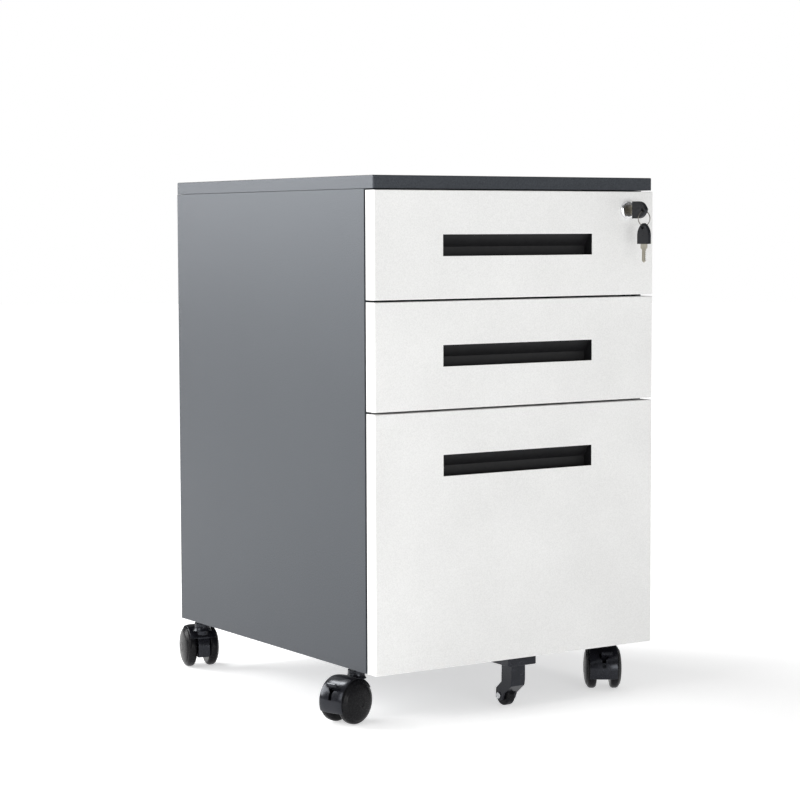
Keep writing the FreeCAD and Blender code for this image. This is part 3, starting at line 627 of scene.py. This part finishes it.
# ---- case details ----
SCREW_INSET = 12.0 * MM
BEAD_END = 90.0          # length of a sheet that its beads leave plain, both ends together
TRAY_BEADS = (-105.0, -35.0, 35.0, 105.0)
BUMPER_INSET = 4.6 * MM
BUMPER_RISE = 14.0 * MM
BUMPER_GAP = 0.4


def case_screws():
    """Screws along the sides of the back panel."""
    low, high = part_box("back_panel")
    places = [facing(side * (high.x - SCREW_INSET), high.y, low.z + share * (high.z - low.z), (0, 1, 0))
              for side in SIDES for share in (0.05, 0.35, 0.65, 0.95)]
    copies("back_panel_screws", SCREW, "cabinet", "zinc_plated_steel", places)


def bead(length, width, height):
    """Pressed bead: a long low ridge with round ends, along X."""
    half, round_end = length / 2.0 - width / 2.0, width / 2.0
    outline = arc(half, 0, round_end, -90, 90, 10) + arc(-half, 0, round_end, 90, 270, 10)
    bm = bmesh.new()
    rings = []
    for share, rise in ((1.0, 0.0), (0.86, 0.35), (0.62, 0.8), (0.35, 1.0)):
        rings.append([bm.verts.new(((x - math.copysign(half, x)) * share * MM + math.copysign(half, x) * MM,
                                    y * share * MM, height * rise * MM)) for x, y in outline])
    for low, high in zip(rings, rings[1:]):
        for i in range(len(outline)):
            j = (i + 1) % len(outline)
            bm.faces.new((low[i], low[j], high[j], high[i]))
    bm.faces.new(rings[-1])
    bm.faces.new(rings[0][::-1])
    return mesh_of("bead", bm)


def tray_beads():
    """Stiffening beads pressed up in the floor of each tray."""
    for number in DRAWERS:
        low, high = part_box("drawer_%d_tray" % number)
        strip = bead((high.y - low.y) / MM - BEAD_END, 12.0, 1.3)
        y = (low.y + high.y) / 2.0
        along = Matrix.Rotation(math.pi / 2, 4, "Z")
        places = [Matrix.Translation((x * MM, y, low.z + SHEET_T - SINK)) @ along
                  for x in TRAY_BEADS]
        copies("drawer_%d_floor_beads" % number, strip, "drawer_%d" % number, "white_powder_coat", places)


def floor_beads():
    """Beads pressed down in the underside of the case."""
    low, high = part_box("bottom_panel")
    strip = bead((high.x - low.x) / MM - BEAD_END, 14.0, 1.6)
    flip = Matrix.Rotation(math.pi, 4, "X")
    places = [Matrix.Translation((0, low.y + share * (high.y - low.y), low.z + SINK)) @ flip
              for share in (0.3, 0.5, 0.7)]
    copies("case_floor_beads", strip, "cabinet", "graphite_powder_coat", places)


def bumpers():
    """Soft stops behind each drawer front, which meet the front edges of the case."""
    case_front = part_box("side_panel_left")[0].y
    for number in DRAWERS:
        low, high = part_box("drawer_%d_front" % number)
        gap = (case_front - high.y) / MM - BUMPER_GAP
        dome = mesh_of("bumper", lathe([(0, -0.2), (3.3, -0.2), (3.3, gap * 0.45), (3.0, gap * 0.75),
                                        (2.2, gap * 0.95), (0, gap)], 32))
        places = [facing(side * (high.x - BUMPER_INSET), high.y, z, (0, 1, 0))
                  for side in SIDES for z in (low.z + BUMPER_RISE, high.z - BUMPER_RISE)]
        copies("drawer_%d_bumpers" % number, dome, "drawer_%d" % number, "acetal", places)


case_screws()
tray_beads()
floor_beads()
bumpers()


# ---- keys and lock ----
BLADE_HALF = 2.5
SHOULDER_END = 6.5
CUT_PITCH = 2.1


def key_blade_mesh():
    """Blade with a milled groove on each side and a row of cuts; along +Y, flat in the Y-Z plane."""
    size = [high - low for low, high in zip(*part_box("spare_key_blade"))]
    length, shoulder, thick = size[2] / MM, size[1] / MM / 2.0, size[0] / MM
    half, neck = BLADE_HALF, SHOULDER_END
    cuts = random.Random(5)
    outline = [(0, -shoulder), (neck - 2.0, -shoulder), (neck, -half)]
    along = neck + 1.5
    while along < length - 3.5:
        dip = cuts.uniform(0.3, 1.5)
        outline += [(along, -half), (along + 0.6, -half + dip), (along + 1.3, -half + dip),
                    (along + 1.9, -half)]
        along += CUT_PITCH
    outline += [(length - 2.0, -half), (length, 0), (length - 2.0, half), (neck, half),
                (neck - 2.0, shoulder), (0, shoulder)]
    turn = Matrix(((0, 0, 1, 0), (1, 0, 0, 0), (0, 1, 0, 0), (0, 0, 0, 1)))
    blade = loose("blade", mesh_of("blade", moved(slab(outline, thick), turn)))
    tools = []
    for side in SIDES:
        track = slab([(neck - 1.0, 0.1), (length + 1.0, 0.1), (length + 1.0, 1.2), (neck - 1.0, 1.2)], 0.9)
        moved(track, Matrix.Translation((side * thick / 2.0 * MM, 0, 0)) @ turn)
        tools.append(cutter("track_%d" % side, track, blade))
    mesh = cut_mesh(blade, tools)
    shade(mesh, 25.0)
    return mesh


def keys():
    mesh = key_blade_mesh()
    for node, body, turn in (("key_blade", "key", 0.0), ("spare_key_blade", "spare_key", -90.0)):
        low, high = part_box(node)
        middle = (low + high) / 2.0
        start = (middle.x, low.y, middle.z) if turn == 0.0 else (middle.x, middle.y, high.z)
        place = Matrix.Translation(start) @ Matrix.Rotation(math.radians(turn), 4, "X")
        add(node + "_cut", mesh, body, "nickel_key", place, [node])


def split_ring():
    """Key ring of two turns of wire that lie side by side."""
    low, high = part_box("key_ring")
    middle = (low + high) / 2.0
    wire = (high.y - low.y) / 2.0
    radius = (high.x - low.x) / 2.0 - wire
    turns, steps, sides = 1.85, 150, 12
    thin = wire * 0.55
    bm = bmesh.new()
    rings = []
    for i in range(steps + 1):
        angle = 2.0 * math.pi * turns * i / steps
        across = (i / steps - 0.5) * 2.0 * thin
        ring = []
        for k in range(sides):
            roll = 2.0 * math.pi * k / sides
            out = radius + wire * 0.8 * math.cos(roll)
            ring.append(bm.verts.new((out * math.cos(angle), across + thin * 0.9 * math.sin(roll),
                                      out * math.sin(angle))))
        rings.append(ring)
    for low_ring, high_ring in zip(rings, rings[1:]):
        for k in range(sides):
            j = (k + 1) % sides
            bm.faces.new((low_ring[k], low_ring[j], high_ring[j], high_ring[k]))
    bm.faces.new(rings[0][::-1])
    bm.faces.new(rings[-1])
    mesh = mesh_of("key_ring_coil", bm)
    mesh.materials.append(MATERIALS["dark_nickel"])
    add("key_ring_coil", mesh, "key_ring", "nickel_key", Matrix.Translation(middle), ["key_ring"])


def lock_details():
    """A screw that holds the cam on the plug."""
    plug_low, plug_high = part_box("lock_plug")
    x, z = (plug_low.x + plug_high.x) / 2.0, (plug_low.z + plug_high.z) / 2.0
    rear = plug_high.y + CAM_THICK
    copies("lock_cam_screw", SCREW, "lock_plug", "zinc_plated_steel", [facing(x, rear, z, (0, 1, 0))])


keys()
split_ring()
lock_details()


# ---- anti-tip wheel bracket ----
RIVET_REACH = 3.8 * MM            # the rivet's faces all lie this close to the axle
FORK_WALL = (2.0 * MM, 6.0 * MM)  # only the holes through the fork's walls have such a length


def face_patches(bm):
    """Groups of connected vertices: one for each CAD face, as long as nothing is merged."""
    seen, groups = set(), []
    for start in bm.verts:
        if start in seen:
            continue
        group, queue = set(), [start]
        while queue:
            vert = queue.pop()
            if vert not in group:
                group.add(vert)
                queue += [edge.other_vert(vert) for edge in vert.link_edges]
        seen |= group
        groups.append(group)
    return groups


def on_rivet(patch, axle):
    reach = max(math.hypot(v.co.y - axle.y, v.co.z - axle.z) for v in patch)
    span = max(v.co.x for v in patch) - min(v.co.x for v in patch)
    return reach < RIVET_REACH and not FORK_WALL[0] < span < FORK_WALL[1]


def anti_tip():
    """Moulded bracket with soft corners, and its steel axle rivet, both from the CAD node."""
    axle = joint_place("anti_tip_wheel_roll")
    source = bmesh.new()
    source.from_mesh(NODES["anti_tip_bracket"].data)
    rivet = {v.index for patch in face_patches(source) if on_rivet(patch, axle) for v in patch}
    for name, slot, passes in (("anti_tip_moulding", "black_nylon", 12),
                               ("anti_tip_rivet", "zinc_plated_steel", 2)):
        part = source.copy()
        wanted = name == "anti_tip_rivet"
        unwanted = [v for v in part.verts if (v.index in rivet) != wanted]
        bmesh.ops.delete(part, geom=unwanted, context="VERTS")
        bmesh.ops.remove_doubles(part, verts=part.verts, dist=0.005 * MM)
        mesh = softened(name + "_raw", part, voxel=0.35, passes=passes)
        shade(mesh, 55.0)
        add(name, mesh, "drawer_3", slot, None, ["anti_tip_bracket"])
    source.free()


anti_tip()


# ---- stage ----
FLOOR_RADIUS = 14.0
FLOOR_DROP = 0.3 * MM    # keeps the floor clear of the wheels


def floor():
    """Pale floor that glows, more so far away, and runs into the white background."""
    paint = Shader("floor_paint", 0.95)
    paint.color(paint.ramp(paint.noise(3.0, 3.0), (0.86, 0.86, 0.86), (0.90, 0.90, 0.90)))
    distance = paint.nodes.new("ShaderNodeVectorMath")
    distance.operation = "LENGTH"
    paint.links.new(paint.coords, distance.inputs[0])
    glow = paint.nodes.new("ShaderNodeMapRange")
    for socket, value in (("From Min", 0.8), ("From Max", 4.5), ("To Min", 0.56), ("To Max", 1.0)):
        glow.inputs[socket].default_value = value
    paint.links.new(distance.outputs["Value"], glow.inputs["Value"])
    paint.links.new(glow.outputs["Result"], paint.bsdf.inputs["Emission Strength"])
    paint.bsdf.inputs["Emission Color"].default_value = (1, 1, 1, 1)
    bpy.ops.mesh.primitive_circle_add(vertices=96, radius=FLOOR_RADIUS, fill_type="NGON",
                                      location=(0, 0, -FLOOR_DROP))
    ground = bpy.context.object
    ground.name = "floor"
    ground.data.materials.append(paint.mat)


def surroundings():
    """White background, which lights the object less brightly than it looks."""
    world = bpy.data.worlds.new("studio")
    bpy.context.scene.world = world
    world.use_nodes = True
    nodes, links = world.node_tree.nodes, world.node_tree.links
    back = nodes["Background"]
    path = nodes.new("ShaderNodeLightPath")
    strength = nodes.new("ShaderNodeMapRange")
    strength.inputs["To Min"].default_value = 0.2
    strength.inputs["To Max"].default_value = 1.0
    links.new(path.outputs["Is Camera Ray"], strength.inputs["Value"])
    links.new(strength.outputs["Result"], back.inputs["Strength"])
    back.inputs["Color"].default_value = (1, 1, 1, 1)


def soft_light(name, place, target, width, height, power):
    data = bpy.data.lights.new(name, "AREA")
    data.shape = "RECTANGLE"
    data.size, data.size_y = width, height
    data.energy = power
    light = bpy.data.objects.new(name, data)
    bpy.context.scene.collection.objects.link(light)
    light.location = place
    aim = Vector(target) - Vector(place)
    light.rotation_euler = aim.to_track_quat("-Z", "Y").to_euler()


def lights():
    soft_light("left_rear_softbox", (-1.9, 2.1, 1.25), (-0.2, 0, 0.35), 1.8, 1.5, 66.0)
    soft_light("left_softbox", (-2.6, -0.35, 1.2), (-0.2, 0, 0.3), 1.5, 1.5, 24.0)
    soft_light("front_softbox", (-0.3, -3.0, 0.5), (0, 0, 0.1), 1.5, 0.9, 23.5)
    soft_light("rear_top_softbox", (-0.7, 1.7, 2.6), (-0.1, 0, 0.1), 0.8, 0.8, 30.0)
    soft_light("overhead", (0.0, -0.3, 2.8), (0, 0, 0), 2.5, 2.5, 10.0)


# ---- camera ----
CAMERA_PLACE = (-1.4750, FACE - 2.0178, 0.5417)
CAMERA_YAW = 33.122
CAMERA_PITCH = 4.330
CAMERA_ROLL = -0.20
CAMERA_LENS = 101.20
SENSOR = 36.0


def camera():
    data = bpy.data.cameras.new("camera")
    data.sensor_width = SENSOR
    data.lens = CAMERA_LENS
    data.clip_end = 50.0
    cam = bpy.data.objects.new("camera", data)
    bpy.context.scene.collection.objects.link(cam)
    cam.location = CAMERA_PLACE
    turn = (Quaternion((0, 0, 1), math.radians(-CAMERA_YAW))
            @ Quaternion((1, 0, 0), math.radians(90.0 - CAMERA_PITCH))
            @ Quaternion((0, 0, 1), math.radians(CAMERA_ROLL)))
    cam.rotation_euler = turn.to_euler()
    bpy.context.scene.camera = cam
    bpy.context.scene.view_settings.view_transform = "Standard"


floor()
surroundings()
lights()
camera()
